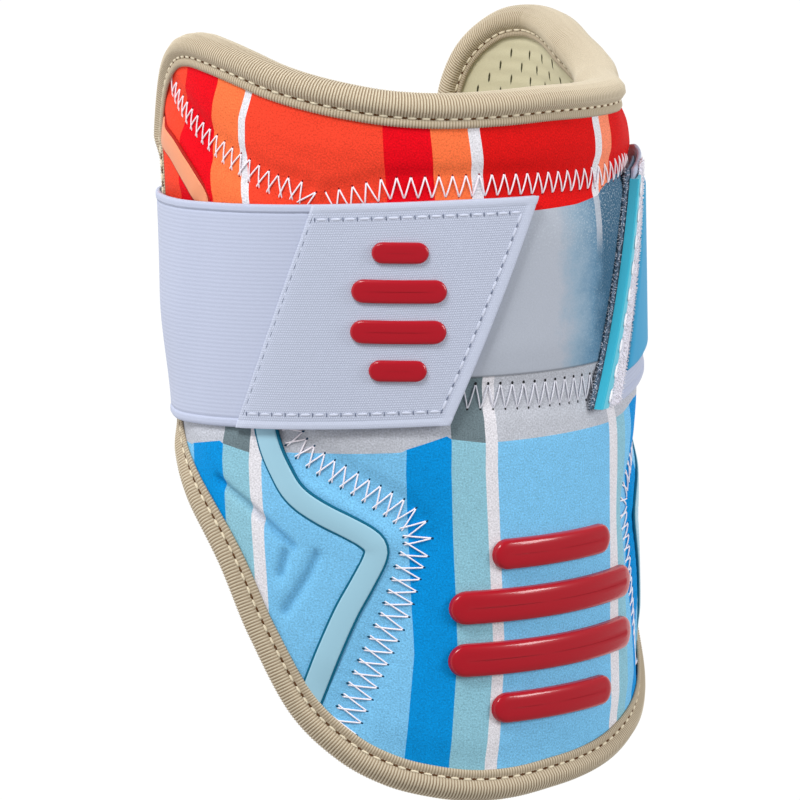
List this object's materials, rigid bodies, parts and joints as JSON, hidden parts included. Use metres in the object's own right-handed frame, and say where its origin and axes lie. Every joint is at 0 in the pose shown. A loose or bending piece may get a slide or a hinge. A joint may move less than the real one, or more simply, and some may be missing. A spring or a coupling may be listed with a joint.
{
  "type": "baseball elbow guard",
  "caption": "Padded elbow guard for a baseball batter: a curled, striped fabric shell with a foam liner and bound rim, held by a wide elastic strap.",
  "frame": {"origin": "centre of the box that holds the guard, at the level of the surface that it lies on", "axes": "+X towards the wing whose side carries the strap's sewn end, +Y up the arm towards the flared end of the shell, +Z out of the padded front; the strap's flat back span lies on z = 0"},
  "size_m": [0.1469, 0.2146, 0.1112],
  "materials": {
    "shell_cover": "printed stretch fabric, matte",
    "liner_foam": "soft brushed foam, matte",
    "binding_tape": "ribbed knit, matte",
    "strap_elastic": "ribbed elastic, matte",
    "tab_weave": "fine grid weave, matte",
    "rib_gloss": "moulded, glossy",
    "strip_light": "smooth soft plastic, satin",
    "strip_peach": "smooth soft plastic, satin",
    "end_bar": "moulded soft plastic, satin",
    "hook_pile": "hook and loop pile, matte",
    "end_patch": "felted patch, matte"
  },
  "bodies": {
    "root": {"edge_binding": "binding_tape", "elastic_strap": "strap_elastic", "end_bar": "end_bar", "end_hook": "hook_pile", "end_patch": "end_patch", "foam_liner": "liner_foam", "lower_strip_left": "strip_light", "lower_strip_right": "strip_light", "padded_shell": "shell_cover", "shell_rib_1": "rib_gloss", "shell_rib_2": "rib_gloss", "shell_rib_3": "rib_gloss", "shell_rib_4": "rib_gloss", "strap_tab": "tab_weave", "tab_rib_1": "rib_gloss", "tab_rib_2": "rib_gloss", "tab_rib_3": "rib_gloss", "tab_rib_4": "rib_gloss", "upper_strip_left": "strip_peach", "upper_strip_right": "strip_peach"}
  },
  "joints": []
}
